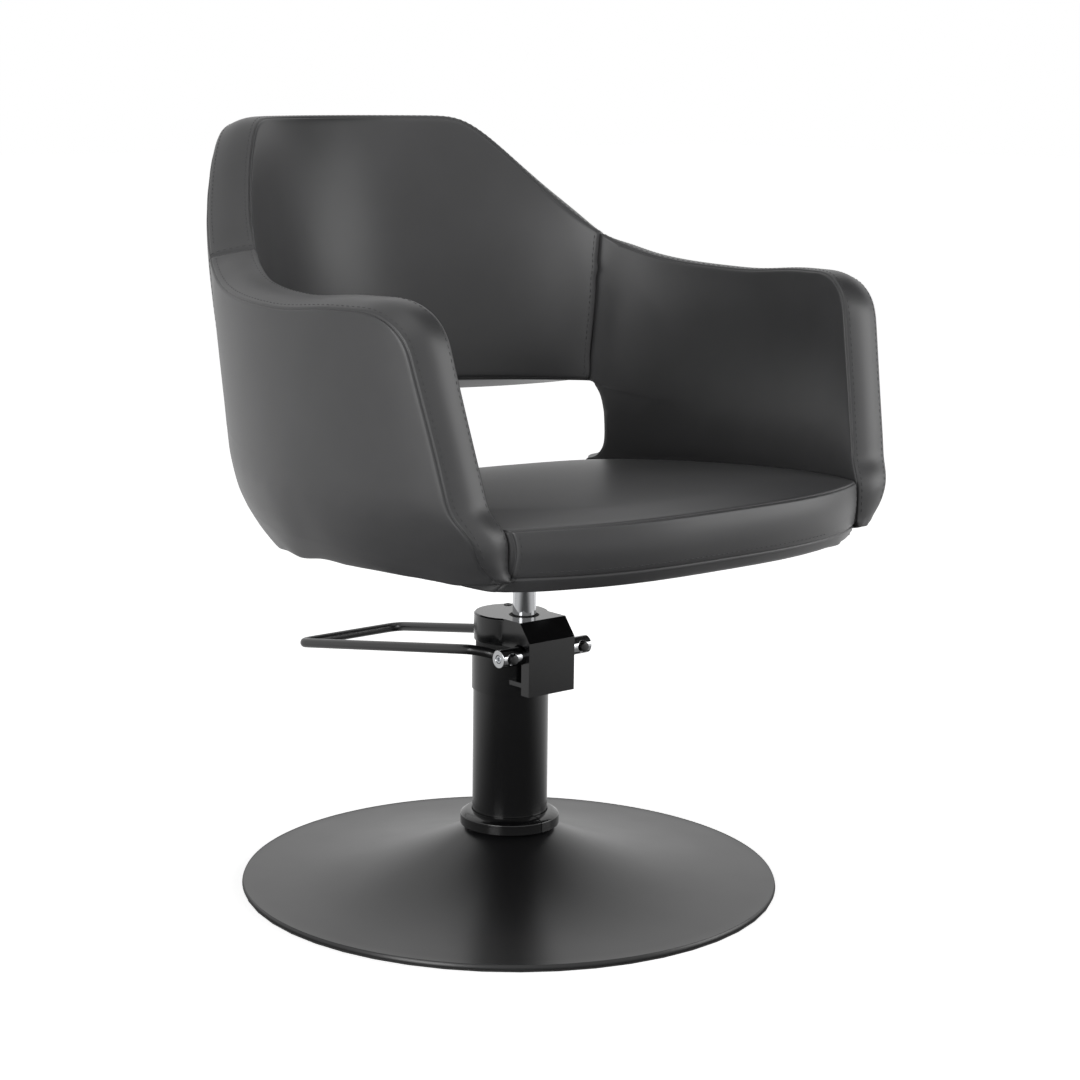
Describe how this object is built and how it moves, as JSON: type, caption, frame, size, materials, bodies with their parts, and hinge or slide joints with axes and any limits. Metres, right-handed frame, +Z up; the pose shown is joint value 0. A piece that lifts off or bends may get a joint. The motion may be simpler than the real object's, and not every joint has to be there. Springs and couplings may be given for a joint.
{
  "type": "hairdressing chair",
  "caption": "Upholstered tub styling chair with an open slot under its curved back, on a foot-pumped hydraulic lift and swivel with a round trumpet base.",
  "frame": {"origin": "centre of the round base, on the floor", "axes": "+Z up along the column, -Y the way the sitter faces, +X to the left of someone sitting in the chair"},
  "size_m": [0.6992, 0.7148, 0.8415],
  "materials": {
    "vinyl": "dark grey grained upholstery vinyl, satin",
    "satin_black": "satin black powder coat",
    "gloss_black": "gloss black stoved enamel",
    "chrome": "bright chrome plate",
    "steel": "plain machined steel",
    "zinc": "bright zinc plate",
    "bronze": "sintered bronze",
    "rubber": "matt black rubber",
    "plywood": "bare birch plywood"
  },
  "bodies": {
    "base": {"base_bolt_1": "zinc", "base_bolt_2": "zinc", "base_bolt_3": "zinc", "base_bolt_4": "zinc", "base_cover": "satin_black", "base_plate": "steel", "collar_left": "gloss_black", "collar_right": "gloss_black", "column_tube": "gloss_black", "cover_ledge": "gloss_black", "cover_pin_left": "steel", "cover_pin_right": "steel", "filler_plug": "gloss_black", "floor_ring": "rubber", "front_cover": "gloss_black", "head_seal": "rubber", "head_sleeve": "gloss_black", "piston_bush": "bronze", "pump_cylinder": "steel", "pump_flange": "steel", "pump_head": "gloss_black", "return_spring": "steel", "shaft_bush_left": "bronze", "shaft_bush_right": "bronze", "wiper_seal": "rubber"},
    "lift": {"piston": "chrome", "piston_packing": "rubber"},
    "seat": {"swivel_socket": "satin_black", "mounting_plate": "satin_black", "plate_bolt_1": "zinc", "plate_bolt_2": "zinc", "plate_bolt_3": "zinc", "plate_bolt_4": "zinc", "tee_nut_1": "zinc", "tee_nut_2": "zinc", "tee_nut_3": "zinc", "tee_nut_4": "zinc", "seat_board": "plywood", "seat_cushion": "vinyl", "left_arm": "vinyl", "right_arm": "vinyl", "backrest": "vinyl", "left_arm_panel": "plywood", "right_arm_panel": "plywood", "back_panel": "plywood", "arm_bolt_left_front": "zinc", "arm_bolt_left_rear": "zinc", "arm_bolt_right_front": "zinc", "arm_bolt_right_rear": "zinc", "panel_dowel_left_lower": "zinc", "panel_dowel_left_upper": "zinc", "panel_dowel_right_lower": "zinc", "panel_dowel_right_upper": "zinc"},
    "lever": {"lever_shaft": "chrome", "lever_loop": "satin_black", "lever_screw_left": "zinc", "lever_screw_right": "zinc", "pump_finger": "steel"},
    "plunger": {"pump_plunger": "steel"}
  },
  "joints": [
    {"name": "seat_lift", "type": "slide", "parent": "base", "child": "lift", "axis": [0, 0, 1], "range_m": [0, 0.13]},
    {"name": "seat_swivel", "type": "hinge", "parent": "lift", "child": "seat", "pos_m": [0, -0.0215, 0.366], "axis": [0, 0, 1], "continuous": true},
    {"name": "lever_pump", "type": "hinge", "parent": "base", "child": "lever", "pos_m": [0, -0.0535, 0.273], "axis": [1, 0, 0], "range_deg": [-20, 0], "stiffness_Nm_per_rad": 3, "springref_deg": 34.38},
    {"name": "plunger_slide", "type": "slide", "parent": "base", "child": "plunger", "axis": [0, 1, 0], "range_m": [0, 0.0075]}
  ],
  "couplings": [
    {"joint": "plunger_slide", "follows": "lever_pump", "m_per_rad": -0.0195}
  ]
}
